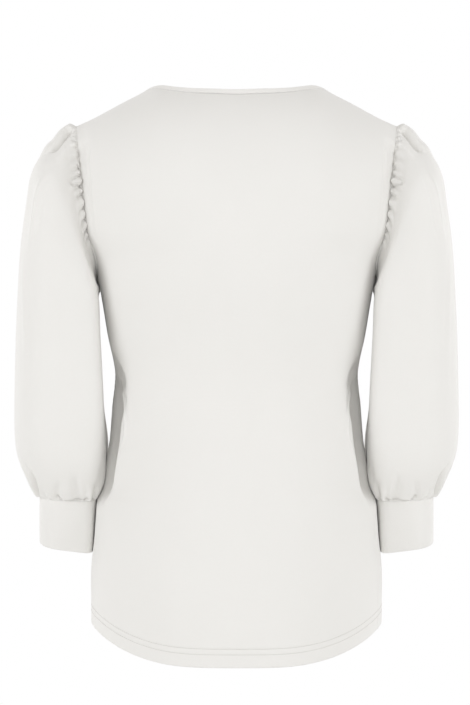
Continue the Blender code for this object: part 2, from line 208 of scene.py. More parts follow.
def hermite(start: Array, start_slope: Array, end: Array, end_slope: Array,
            share: Array) -> Array:
    """Cubic curve with given ends and end slopes.

    Args:
        start: Where it starts.
        start_slope: Its slope there, for the whole curve.
        end: Where it ends.
        end_slope: Its slope there.
        share: How far along the curve to read it, from 0 to 1.

    Returns:
        The curve's values.
    """
    square = share * share
    cube = square * share
    return (start * (2.0 * cube - 3.0 * square + 1.0)
            + start_slope * (cube - 2.0 * square + share)
            + end * (3.0 * square - 2.0 * cube)
            + end_slope * (cube - square))


class SmoothTable:
    """A table read along smooth curves through its rows, by its first column."""

    def __init__(self, kind: type, rows: Sequence[Sequence[float]]) -> None:
        """Keep the rows and work out their slopes.

        Args:
            kind: Type of a row.
            rows: The table.
        """
        self.kind = kind
        self.values = np.array(rows, float)
        self.keys = self.values[:, 0]
        self.slopes = self._even_bend_slopes()

    def _even_bend_slopes(self) -> Array:
        """Slopes at the rows with which the curves bend evenly from span to span.

        Returns:
            One row of slopes for each row of the table.
        """
        spans = np.diff(self.keys)
        rises = np.diff(self.values, axis=0) / spans[:, None]
        count = len(self.keys)
        system = np.zeros((count, count))
        right = np.zeros_like(self.values)
        system[0, :2] = (2.0, 1.0)
        system[-1, -2:] = (1.0, 2.0)
        right[0] = 3.0 * rises[0]
        right[-1] = 3.0 * rises[-1]
        for row in range(1, count - 1):
            before, after = spans[row - 1], spans[row]
            system[row, row - 1:row + 2] = (after, 2.0 * (before + after), before)
            right[row] = 3.0 * (after * rises[row - 1] + before * rises[row])
        return np.linalg.solve(system, right)

    def at(self, key: Array | float) -> NamedTuple:
        """Row at a key between the rows.

        Args:
            key: Value of the first column, a number or an array.

        Returns:
            A row whose columns are arrays of the key's shape.
        """
        key = np.clip(np.asarray(key, float), self.keys[0], self.keys[-1])
        index = np.clip(np.searchsorted(self.keys, key, side="right") - 1, 0,
                        len(self.keys) - 2)
        span = (self.keys[index + 1] - self.keys[index])[..., None]
        share = (key - self.keys[index])[..., None] / span
        columns = hermite(self.values[index], self.slopes[index] * span,
                          self.values[index + 1], self.slopes[index + 1] * span, share)
        return self.kind(*np.moveaxis(columns, -1, 0))


# ---- folds


@dataclass
class FoldLine:
    """One fold laid along a line of points in space."""

    line: Array
    fold: Fold

    def heights(self, places: Array) -> Array:
        """Height that the fold adds at each place.

        Args:
            places: Points on the smooth surface, one to a row.

        Returns:
            One height for each place, negative in a trough.
        """
        fold, line = self.fold, self.line
        low, high = line.min(axis=0) - fold.half_width, line.max(axis=0) + fold.half_width
        near = np.flatnonzero(np.all((places > low) & (places < high), axis=1))
        here = places[near]
        away = np.full(len(here), np.inf)
        share = np.zeros(len(here))
        spans = np.diff(line, axis=0)
        for index, (start, span) in enumerate(zip(line, spans)):
            along = np.clip((here - start) @ span / (span @ span), 0.0, 1.0)
            distance = np.linalg.norm(here - start - along[:, None] * span, axis=1)
            closer = distance < away
            away[closer] = distance[closer]
            share[closer] = (index + along[closer]) / len(spans)
        reach = away / fold.half_width
        inside = np.clip(1.0 - reach, 0.0, 1.0)
        other = inside ** 2 if fold.crisp > 0.0 else 1.0 - (1.0 - inside) ** 2
        profile = mix(1.0 - smooth(reach), other, abs(fold.crisp))
        for left, fade in ((share, fold.fade_start), (1.0 - share, fold.fade_end)):
            if fade > 0.0:
                profile = profile * smooth(left / fade)
        heights = np.zeros(len(places))
        heights[near] = -fold.depth * profile
        return heights


def laid(folds: Sequence[Fold], locate: Callable[[Array, Array], Array],
         sides: Iterable[int] = (1,)) -> list[FoldLine]:
    """Lay folds on a surface.

    Args:
        folds: Their table.
        locate: Turns the table's two coordinates into points.
        sides: Signs for the first coordinates, each of which gives a set of the folds.

    Returns:
        One line of points in space for each fold.
    """
    share = np.linspace(0.0, 1.0, LINE_STEPS + 1)
    arch = np.sin(math.pi * share)
    return [FoldLine(locate(side * (mix(fold.start[0], fold.end[0], share) + fold.bow * arch),
                            mix(fold.start[1], fold.end[1], share)), fold)
            for side in sides for fold in folds]


class Surface:
    """A smooth surface read by two coordinates, with the folds that lie on it."""

    steps = (1.0, 0.001)        # small moves along both coordinates that give the slopes
    turn = 1.0                  # sign that makes its normals point out of the garment
    fold_lines: Sequence[FoldLine] = ()

    def base(self, first: Array, second: Array) -> Array:
        """Points of the smooth surface."""
        raise NotImplementedError

    def bumps(self, first: Array, second: Array) -> Array:
        """Heights of the puffs, which follow a formula of the coordinates."""
        return np.zeros(len(first))

    def on_surface(self, first: Array, second: Array) -> Array:
        """Second coordinate at which a row of the piece starts, which an edge may shift."""
        return second

    def held(self, second: Array) -> Array | float:
        """Share of the puffs' and folds' height that is left near a seam."""
        return 1.0

    def sunk(self, place: Array) -> Array | float:
        """Shift of places on the smooth surface that owes nothing to its normals."""
        return 0.0

    def finished(self, first: Array, second: Array) -> tuple[Array, Array, Array]:
        """Finish the surface with its puffs and folds.

        Args:
            first: First coordinates.
            second: Second coordinates.

        Returns:
            Points, their normals and the directions down the piece.
        """
        one, two = self.steps
        place = self.base(first, second)
        across = unit(self.base(first + one, second) - self.base(first - one, second))
        along = unit(self.base(first, second + two) - self.base(first, second - two))
        normal = unit(np.cross(across, along)) * self.turn
        height = self.bumps(first, second)
        for line in self.fold_lines:
            height = height + line.heights(place)
        height = height * self.held(second)
        return place + normal * height[:, None] + self.sunk(place), normal, along


# ---- body


RIDGE = (
    (0, -0.0172), (0.015, -0.0171), (0.03, -0.0162), (0.045, -0.0143), (0.06, -0.0123),
    (0.075, -0.0104), (0.088, -0.0078), (0.104, 0.0005), (0.122, 0.0098), (0.14, 0.0195),
    (0.16, 0.03), (0.176, 0.037),
)
BODY_SECTIONS = (
    (0.037, 0.18, 0.117, 0.098, 0, 2.5, 90),
    (0.052, 0.1768, 0.117, 0.098, 0, 2.5, 90),
    (0.075, 0.1764, 0.117, 0.098, 0, 2.5, 90),
    (0.1, 0.179, 0.117, 0.098, 0, 2.5, 90),
    (0.12, 0.1786, 0.1172, 0.1042, 0, 2.48, 90),
    (0.142, 0.1752, 0.1175, 0.1108, 0, 2.46, 90),
    (0.157, 0.1712, 0.1174, 0.1145, 0, 2.43, 90),
    (0.17, 0.1645, 0.1166, 0.117, 0, 2.39, 90),
    (0.182, 0.158, 0.1155, 0.1187, 0, 2.36, 90),
    (0.204, 0.1525, 0.113, 0.12, 0, 2.38, 90),
    (0.245, 0.1457, 0.105, 0.119, 0.001, 2.42, 90),
    (0.275, 0.1405, 0.098, 0.112, 0.002, 2.38, 90),
    (0.308, 0.1343, 0.093, 0.104, 0.003, 2.28, 84),
    (0.325, 0.1352, 0.0928, 0.1018, 0.0035, 2.2, 74),
    (0.345, 0.1374, 0.0935, 0.1005, 0.004, 2.2, 64),
    (0.375, 0.1394, 0.098, 0.101, 0.004, 2.2, 59),
    (0.395, 0.142, 0.102, 0.1015, 0.004, 2.2, 62.5),
    (0.408, 0.144, 0.1055, 0.102, 0.0035, 2.2, 65.5),
    (0.4165, 0.145, 0.108, 0.1025, 0.003, 2.2, 67),
    (0.43, 0.1462, 0.111, 0.103, 0.003, 2.2, 67.5),
    (0.4398, 0.1492, 0.113, 0.1036, 0.002, 2.2, 68),
    (0.4475, 0.1532, 0.1147, 0.1042, 0.002, 2.2, 68),
    (0.46, 0.1548, 0.117, 0.105, 0.001, 2.2, 68.5),
    (0.475, 0.1557, 0.1185, 0.1055, 0, 2.2, 69),
    (0.49, 0.1567, 0.12, 0.106, 0, 2.2, 70),
    (0.515, 0.1595, 0.122, 0.107, 0, 2.2, 72),
    (0.56, 0.1602, 0.1245, 0.108, 0, 2.2, 73),
    (0.64, 0.161, 0.125, 0.108, 0, 2.2, 73),
)


class Pair(NamedTuple):
    """A size of the back panel and the same size of the front panel."""

    back: float
    front: float

    def of(self, face: Face) -> float:
        """The size of one of them."""
        return self.back if face == Face.BACK else self.front


@dataclass
class BodyForm:
    """Outer form of the body panels, worked out from a few sizes and level sections."""

    shoulder_x: float = 0.176
    shoulder_y: float = -0.003
    shoulder_drop: float = 0.037
    underarm_drop: float = 0.204
    armhole_depth: Pair = Pair(0.056, 0.053)
    chest_drop: Pair = Pair(0.125, 0.140)
    row_bend: float = 5.0
    ridge_roundness: float = 1.6
    slope_step: float = 0.02
    neck_half_width: float = 0.1035
    neck_depth: Pair = Pair(0.065, 0.098)
    neck_start: float = 0.0006
    hem_drop: float = 0.618
    hem_rise: float = 0.036
    hem_flat_share: float = 0.12
    hem_ease: float = 2.55
    halvings: int = 34
    fine_columns: int = 2001
    ridge: SmoothTable = field(default_factory=lambda: SmoothTable(RidgeRow, RIDGE))
    sections: SmoothTable = field(
        default_factory=lambda: SmoothTable(BodySection, BODY_SECTIONS))

    def point(self, angle: Array, drop: Array) -> Array:
        """Find points of the body.

        Args:
            angle: Their angles, negative on the wearer's left.
            drop: Their drops.

        Returns:
            The points.
        """
        row = self.sections.at(drop)
        power = 2.0 / row.square
        turn = np.radians(np.abs(angle))
        sine = np.maximum(np.sin(turn), 0.0) ** power
        cosine = np.abs(np.cos(turn)) ** power
        depth = np.where(turn <= math.pi / 2.0, -row.back - row.side, row.front - row.side)
        return points(np.copysign(row.half_width * sine, angle), row.side + depth * cosine,
                      -np.asarray(drop, float))

    def panel_angle(self, face: Face, across: Array, edge_angle: Array) -> Array:
        """Body angle of a place that lies a share of the half panel from its middle."""
        if face == Face.BACK:
            return across * edge_angle
        return np.copysign(180.0 - np.abs(across) * (180.0 - edge_angle), across)

    def armhole_row(self, face: Face, across: Array, down: Array) -> Array:
        """Find points between the chest row (down 1) and the underarm row (down 2).

        Args:
            face: The panel.
            across: Places across it, from -1 to 1.
            down: Places down it.

        Returns:
            The points, the outermost of them on the armhole's edge.
        """
        turn = np.radians(90.0 * (down - 1.0))
        half_height = (self.underarm_drop - self.shoulder_drop) / 2.0
        edge_drop = self.shoulder_drop + half_height * (1.0 + np.sin(turn))
        middle_drop = mix(self.chest_drop.of(face), self.underarm_drop, down - 1.0)
        drop = mix(middle_drop, edge_drop, np.abs(across) ** self.row_bend)
        row = self.sections.at(edge_drop)
        reach = (row.back if face == Face.BACK else row.front) - face * row.side
        depth = self.armhole_depth.of(face) * np.cos(turn)
        share = np.clip((depth - face * row.side) / reach, 0.0, 1.0)
        edge_angle = np.degrees(np.arccos(share ** (row.square / 2.0)))
        if face == Face.FRONT:
            edge_angle = 180.0 - edge_angle
        return self.point(self.panel_angle(face, across, edge_angle), drop)

    def hem_at(self, angle: Array) -> Array:
        """Drop of the hem at an angle: level behind and in front, raised at the sides."""
        ratio = np.abs(np.sin(np.radians(angle)))
        rise = np.maximum((ratio - self.hem_flat_share) / (1.0 - self.hem_flat_share), 0.0)
        return self.hem_drop - self.hem_rise * rise ** self.hem_ease

    def skirt_row(self, face: Face, across: Array, down: Array) -> Array:
        """Find points between the underarm row (down 2) and the hem (down 3).

        Args:
            face: The panel.
            across: Places across it, from -1 to 1.
            down: Places down it.

        Returns:
            The points.
        """
        share = down - 2.0
        seam = self.sections.at(mix(self.underarm_drop, self.hem_drop, share)).seam
        angle = self.panel_angle(face, across, seam)
        drop = mix(self.underarm_drop, self.hem_at(angle), share)
        seam = self.sections.at(drop).seam
        return self.point(self.panel_angle(face, across, seam), drop)

    def out_at(self, face: Face, across: Array) -> Array:
        """How far out a column leaves the shoulder ridge."""
        chest = self.armhole_row(face, across, np.ones_like(across))[..., 0]
        edge = self.armhole_row(face, np.ones(1), np.ones(1))[0, 0]
        return self.shoulder_x * chest / edge

    def across_at(self, face: Face, out: Array) -> Array:
        """Column that leaves the shoulder ridge a distance out, the inverse of out_at."""
        places = np.linspace(0.0, 1.0, self.fine_columns)
        return np.interp(out, self.out_at(face, places), places)

    def neck_corner(self, face: Face) -> float:
        """Column at which the neck edge meets the shoulder ridge."""
        return float(self.across_at(face, np.array([self.neck_half_width]))[0])

    def shoulder(self, face: Face, across: Array, down: Array) -> Array:
        """Find points between the shoulder ridge (down 0) and the chest row (down 1).

        Args:
            face: The panel.
            across: Places across it, from -1 to 1.
            down: Places down it.

        Returns:
            The points, with no neck cut out.
        """
        out = self.out_at(face, across)
        ridge = points(out, self.shoulder_y * np.abs(out) / self.shoulder_x,
                       -self.ridge.at(np.abs(out)).drop)
        chest = self.armhole_row(face, across, np.ones_like(across))
        below = self.armhole_row(face, across, np.full_like(across, 1.0 + self.slope_step))
        below = below - chest
        level = (chest[..., 1] - ridge[..., 1]) * self.ridge_roundness
        leave = points(0.0, level, 0.0)
        fall = (chest[..., 2] - ridge[..., 2]) / below[..., 2] * self.ridge_roundness
        return hermite(ridge, leave, chest, below * fall[..., None], down[..., None])

    def neck_cut(self, face: Face, across: Array) -> Array:
        """Find the neck edge by halving the shoulder surface again and again.

        Args:
            face: The panel.
            across: Places across it, from -1 to 1.

        Returns:
            How far down that surface the edge lies at each of them.
        """
        places, back_to = np.unique(np.abs(across), return_inverse=True)
        low = np.zeros_like(places)
        high = np.ones_like(places)
        for _ in range(self.halvings):
            middle = (low + high) / 2.0
            place = self.shoulder(face, places, middle)
            inside = np.hypot(place[:, 0] / self.neck_half_width,
                              place[:, 1] / self.neck_depth.of(face)) < 1.0
            low = np.where(inside, middle, low)
            high = np.where(inside, high, middle)
        cut = np.where(places < self.neck_corner(face), (low + high) / 2.0, 0.0)
        return np.maximum(cut, self.neck_start)[back_to]

    def surface(self, face: Face, across: Array, down: Array) -> Array:
        """Find points of a panel from the shoulder ridge (down 0) to the hem (down 3).

        Args:
            face: The panel.
            across: Places across it, from -1 to 1.
            down: Places down it.

        Returns:
            The points.
        """
        across, down = (np.array(value) for value in np.broadcast_arrays(across, down))
        place = np.empty(across.shape + (3,))
        parts = ((down < 1.0, self.shoulder),
                 ((down >= 1.0) & (down < 2.0), self.armhole_row),
                 (down >= 2.0, self.skirt_row))
        for chosen, row in parts:
            if chosen.any():
                place[chosen] = row(face, across[chosen], down[chosen])
        return place


# Folds of both panels by body angle and drop, the first set on either side.
SIDE_FOLDS = fold_table(
    (84, 0.292, 66, 0.33, -4, 0.015, 0.0048, 0.2, 0.4, 0.2),
    (66, 0.326, 67.5, 0.366, -3, 0.011, 0.0044, 0.3, 0.2, 0.6),
    (72, 0.318, 66, 0.352, 2, 0.008, -0.0016, 0, 0.4, 0.5),
    (74, 0.258, 66, 0.3, 3, 0.02, -0.001, 0, 0.5, 0.5),
    (79, 0.298, 77, 0.462, -2, 0.025, 0.0175, 0, 0.3, 0.3),
    (100, 0.3, 112, 0.44, 3, 0.026, 0.0022, 0, 0.5, 0.5),
    (60, 0.43, 48, 0.56, 2, 0.034, 0.0012, 0, 0.5, 0.6),
    (128, 0.3, 136, 0.52, -4, 0.04, 0.0016, 0, 0.5, 0.6),
)
BACK_FOLDS = fold_table(
    (8, 0.25, 5, 0.52, 2, 0.045, 0.0009, 0, 0.5, 0.5),
    (-17, 0.26, -12, 0.5, -2, 0.045, 0.0007, 0, 0.5, 0.5),
    (25, 0.48, 19, 0.61, 1, 0.03, -0.0009, 0, 0.6, 0),
    (-28, 0.5, -24, 0.61, 1, 0.03, -0.0008, 0, 0.6, 0),
)
FRONT_FOLDS = fold_table(
    (168, 0.23, 160, 0.42, -3, 0.036, 0.0018, 0, 0.5, 0.6),
    (-158, 0.24, -166, 0.45, 3, 0.034, 0.0014, 0, 0.5, 0.6),
    (150, 0.44, 156, 0.6, 2, 0.034, -0.0014, 0, 0.6, 0),
    (-170, 0.46, -174, 0.6, 2, 0.034, -0.0012, 0, 0.6, 0),
)
# Ditches along the armholes, sunk straight in from behind or in front, and imprints along
# the seams, by the panel's own coordinates and on either side.
ARMHOLE_DITCHES = fold_table(
    (1, 0, 1, 1.6, 0, 0.019, 0.0042, 0, 0.2, 0.6),
    (1, 0.44, 1.03, 1.62, 0, 0.0185, 0.0085, -1, 0.15, 0.7),
)
EDGE_FOLDS = fold_table(
    (0.868, 0.54, 0.88, 0.98, 0, 0.004, 0.003, 0.4, 0.2, 0.5),
    (0.88, 0.8, 0.868, 1.5, 0.014, 0.005, 0.0009, 0.2, 0.3, 0.3),
    (1, 2.24, 1, 2.52, 0, 0.0045, -0.0013, 0.4, 0.3, 0.4),
    (1, 2.84, 1, 3, 0, 0.0035, -0.0005, 0.3, 0.3, 0),
    (0.6, 0, 1, 0, 0, 0.003, 0.0003, 0.5, 0, 0),
)
FRONT_EDGE_FOLDS = EDGE_FOLDS + fold_table(
    (0.9, 1.3, 0.56, 1.62, 0, 0.02, 0.0016, 0, 0.2, 0.6),
    (0.94, 1.6, 0.64, 1.84, 0, 0.016, 0.0012, 0, 0.2, 0.6),
)
HEM_GROOVE = fold_table((0, 0, 0, 0, 0, 0.0016, 0.0003, 0.5, 0, 0))[0]


class PanelSurface(Surface):
    """Outer face of one body panel, by its place across (-1 to 1) and down (0 to 3)."""

    steps = (0.004, 0.004)

    def __init__(self, body: BodyForm, face: Face, groove_heights: Sequence[float]) -> None:
        """Lay the panel's folds.

        Args:
            body: Form of the body.
            face: The panel.
            groove_heights: Heights above the hem's edge at which its stitches pull in.
        """
        self.body = body
        self.face = face
        self.turn = float(face)
        own, edges = ((BACK_FOLDS, EDGE_FOLDS) if face == Face.BACK
                      else (FRONT_FOLDS, FRONT_EDGE_FOLDS))
        self.fold_lines = (laid(own, body.point) + laid(SIDE_FOLDS, body.point, Side)
                           + laid(edges, self.base, Side))
        self.ditches = laid(ARMHOLE_DITCHES, self.base, Side)
        across = np.linspace(-1.0, 1.0, 3 * LINE_STEPS)
        for height in groove_heights:
            line = self.base(across, self.above_hem(across, height))
            self.fold_lines.append(FoldLine(line, HEM_GROOVE))

    def base(self, first: Array, second: Array) -> Array:
        """Points of the panel without its folds."""
        return self.body.surface(self.face, first, second)

    def sunk(self, place: Array) -> Array:
        """Shift straight in along the ditches."""
        sink = sum(line.heights(place) for line in self.ditches)
        return points(0.0, self.face * sink, 0.0)

    def above_hem(self, across: Array, height: float) -> Array:
        """Place down the panel that lies a height above the hem's edge."""
        seam = self.body.sections.at(self.body.hem_drop).seam
        hem = self.body.hem_at(self.body.panel_angle(self.face, across, seam))
        return 3.0 - height / (hem - self.body.underarm_drop)

    def on_surface(self, first: Array, second: Array) -> Array:
        """Squeeze the rows above the chest row between the neck edge and that row."""
        cut = self.body.neck_cut(self.face, first)
        return np.where(second < 1.0, mix(cut, 1.0, second), second)

    def neck_edge(self, across: Array) -> Array:
        """Finished points of the top edge."""
        return self.finished(across, self.body.neck_cut(self.face, across))[0]


# ---- sleeves and cuffs


SLEEVE_SECTIONS = (
    (0, 0.1762, 0.037, 0.153, 0.2044, 0.109, -0.001, 0, 2, 2),
    (0.019, 0.191, 0.045, 0.1541, 0.2088, 0.116, -0.001, 0, 2.1, 2.5),
    (0.035, 0.2001, 0.0565, 0.1526, 0.2122, 0.12, -0.001, 0, 2.3, 4.2),
    (0.05, 0.2098, 0.0643, 0.1506, 0.2155, 0.124, -0.001, 0, 2.5, 6.2),
    (0.075, 0.2238, 0.0851, 0.1488, 0.2232, 0.129, -0.001, 0, 2.75, 8),
    (0.109, 0.2304, 0.1182, 0.1476, 0.2354, 0.132, -0.001, 0, 2.9, 8.5),
    (0.148, 0.2359, 0.1569, 0.147, 0.253, 0.134, 0, 0, 2.9, 9.5),
    (0.204, 0.2403, 0.2122, 0.146, 0.2785, 0.135, 0.002, 0, 2.8, 9.5),
    (0.259, 0.2431, 0.2674, 0.1446, 0.3061, 0.135, 0.004, 0.0005, 2.7, 9),
    (0.314, 0.2448, 0.3227, 0.1433, 0.3392, 0.134, 0.008, 0.001, 2.7, 8.5),
    (0.364, 0.2453, 0.3724, 0.1433, 0.3746, 0.131, 0.012, 0.0015, 2.7, 7),
    (0.392, 0.2425, 0.4, 0.1441, 0.4033, 0.125, 0.015, 0.002, 2.6, 5.5),
    (0.415, 0.2346, 0.4212, 0.1452, 0.4265, 0.113, 0.018, 0.0025, 2.5, 4.5),
    (0.432, 0.2268, 0.4352, 0.1497, 0.4398, 0.097, 0.02, 0.0028, 2.65, 5.25),
    (0.445, 0.2188, 0.4453, 0.1545, 0.4475, 0.084, 0.022, 0.003, 2.8, 6),
)
CUFF_SECTIONS = (
    (0, 0.2188, 0.4453, 0.1545, 0.4475, 0.084, 0.022, 0.003, 2.8, 6),
    (0.025, 0.219, 0.469, 0.156, 0.4735, 0.083, 0.024, 0.0045, 2.9, 6.5),
    (0.05, 0.219, 0.4935, 0.158, 0.501, 0.082, 0.026, 0.0065, 2.9, 6.5),
)
# Gathers at the sleeve head: angle, then the height and reach of the puff that follows.
HEAD_GATHERS = (
    (-6, 0.0012, 0.014), (8, 0.0014, 0.012), (20, 0.0016, 0.012), (31, 0.0026, 0.013),
    (38, 0.003, 0.015), (46, 0.0036, 0.018), (57, 0.004, 0.02), (66.5, 0.0048, 0.022),
    (72, 0.0062, 0.03), (80.5, 0.005, 0.022), (87, 0.0052, 0.026), (96, 0.0044, 0.026),
    (104, 0.004, 0.026), (113, 0.003, 0.026), (119, 0.002, 0.02),
)
LAST_GATHER_ANGLE = 127.0
# Puffs over the cuff seam: angle, height, reach and half width.
CUFF_PUFFS = (
    (12, 0.0014, 0.03, 12), (40, 0.0018, 0.026, 13), (64, 0.002, 0.024, 11),
    (93, 0.003, 0.04, 14), (117, 0.0034, 0.036, 14), (152, 0.001, 0.026, 11),
    (185, 0.0008, 0.024, 12), (218, 0.001, 0.03, 12), (250, 0.0026, 0.034, 15),
    (272, 0.0028, 0.04, 13), (301, 0.0022, 0.03, 14), (331, 0.0024, 0.034, 13),
)
# Folds by angle and run, on the back and the front of a sleeve: the valley at its head, its
# long soft bands, the creases above the cuff, and short puckers at the head seam.
SLEEVE_FOLDS = fold_table(
    (15.5, 0.005, 26, 0.046, 6.5, 0.0058, 0.01, 0.4, 0.12, 0.4),
    (3.5, 0.006, 4, 0.018, 0, 0.0022, 0.0009, 0.5, 0.3, 0.4),
    (50, 0.05, 47, 0.165, 5, 0.0085, -0.0038, 0.3, 0.3, 0.5),
    (32, 0.064, 30, 0.15, 3, 0.014, 0.0022, 0, 0.4, 0.5),
    (32, 0.15, 52, 0.33, 6, 0.007, -0.0009, 0.2, 0.3, 0.5),
    (110, 0.07, 116, 0.34, 4, 0.018, 0.0012, 0, 0.4, 0.4),
    (26, 0.39, 15, 0.444, 12, 0.0095, -0.002, -1, 0.25, 0),
    (37.5, 0.396, 27, 0.444, 12, 0.0068, 0.0084, 0.5, 0.5, 0),
    (150, 0.39, 141, 0.43, 0, 0.008, 0.0012, 0, 0.3, 0.2),
    (90, 0.408, 82, 0.442, 0, 0.0072, 0.0026, 0, 0.7, 0),
    (94.1, 0.4, 94.6, 0.443, 0, 0.0078, 0.0042, 0, 0.6, 0),
    (128, 0.408, 139, 0.442, 0, 0.007, 0.0026, 0.1, 0.6, 0),
    (62, 0.422, 59, 0.444, 0, 0.0052, 0.0018, 0.1, 0.7, 0),
    (79.5, 0.438, 86.6, 0.445, 0, 0.0022, 0.0036, 0.7, 0.2, 0),
    (92.8, 0.4385, 90.3, 0.445, 0, 0.0021, 0.0034, 0.7, 0.3, 0),
    (112.9, 0.437, 102.5, 0.4448, 0, 0.0024, 0.0046, 0.7, 0.2, 0),
    (57, 0.4405, 63, 0.4445, 0, 0.0018, 0.0014, 0.7, 0.3, 0.2),
    (142, 0.44, 150, 0.444, 0, 0.0018, 0.0014, 0.7, 0.3, 0.2),
    (9, 0, 8, 0.009, 0, 0.0022, 0.0018, 0.8, 0, 0.5),
    (31, 0, 30, 0.006, 0, 0.002, 0.0026, 0.8, 0, 0.5),
    (38, 0, 34, 0.01, 0, 0.0022, 0.003, 0.8, 0, 0.4),
    (46, 0, 40.5, 0.014, 0, 0.0034, 0.002, 0.5, 0, 0.5),
    (57, 0, 55, 0.006, 0, 0.002, 0.0014, 0.8, 0, 0.5),
    (66.5, 0, 63, 0.007, 0, 0.0022, 0.0034, 0.8, 0, 0.4),
    (72, 0, 70.5, 0.009, 0, 0.0021, 0.003, 0.8, 0, 0.5),
    (80.5, 0, 73.5, 0.024, 0, 0.004, 0.0046, 0.8, 0, 0.25),
    (70.5, 0.006, 73.5, 0.024, 0, 0.0045, 0.0014, 0.4, 0.3, 0.2),
    (87, 0, 83.5, 0.01, 0, 0.0024, 0.0036, 0.8, 0, 0.4),
    (88, 0.002, 86, 0.016, 0, 0.0045, 0.0018, 0.2, 0.2, 0.5),
    (96, 0, 97, 0.007, 0, 0.002, 0.0012, 0.8, 0, 0.5),
    (104, 0, 105.5, 0.019, 0, 0.0024, 0.0022, 0.7, 0, 0.5),
    (113, 0, 114, 0.027, 0, 0.0024, 0.0026, 0.7, 0, 0.5),
    (119, 0, 119, 0.021, 0, 0.0022, 0.0024, 0.7, 0, 0.5),
    (122, 0.0015, 180, 0.0015, 0, 0.004, 0.0022, 0.4, 0.2, 0),
)
# Soft dents of a cuff, by angle and run.
CUFF_DENTS = fold_table(
    (22, 0.004, 20, 0.03, 0, 0.005, 0.0005, 0.2, 0.3, 0.6),
    (150, 0.002, 158, 0.04, 0, 0.008, 0.0006, 0, 0.2, 0.6),
    (-60, 0.002, -66, 0.034, 0, 0.008, 0.0006, 0, 0.2, 0.6),
)


class ArmForm:
    """Oval sections of a sleeve or a cuff on one side, squarer towards the body, where the
    wall leans outwards from back to front."""

    wall_lean = 0.058
    wall_square = 6.0           # exponent from which on an inner half counts as a wall
    wall_blend = 2.5

    def __init__(self, side: Side, rows: Sequence[Sequence[float]]) -> None:
        """Keep the sections.

        Args:
            side: The wearer's side.
            rows: Table of the sections.
        """
        self.side = side
        self.table = SmoothTable(ArmSection, rows)
        self.length = float(self.table.keys[-1])

    def point(self, angle: Array, run: Array) -> Array:
        """Find points of the arm.

        Args:
            angle: Their angles from the outer line towards the back.
            run: Their distances down the outer line.

        Returns:
            The points.
        """
        row = self.table.at(run)
        sine, cosine = np.sin(np.radians(angle)), np.cos(np.radians(angle))
        power = 2.0 / np.where(cosine < 0.0, row.inner_square, row.square)
        out = (1.0 + np.sign(cosine) * np.abs(cosine) ** power) / 2.0
        back = np.sign(sine) * np.abs(sine) ** power
        wall = smooth((row.inner_square - self.wall_square) / self.wall_blend)
        lean = self.wall_lean * wall * np.clip(-cosine, 0.0, 1.0) * row.depth / 2.0
        return points((mix(row.inner_x, row.outer_x, out) + lean * (1.0 - back)) * self.side,
                      row.forward - row.depth / 2.0 * back,
                      -mix(row.inner_drop, row.outer_drop, out) - row.sag * back)


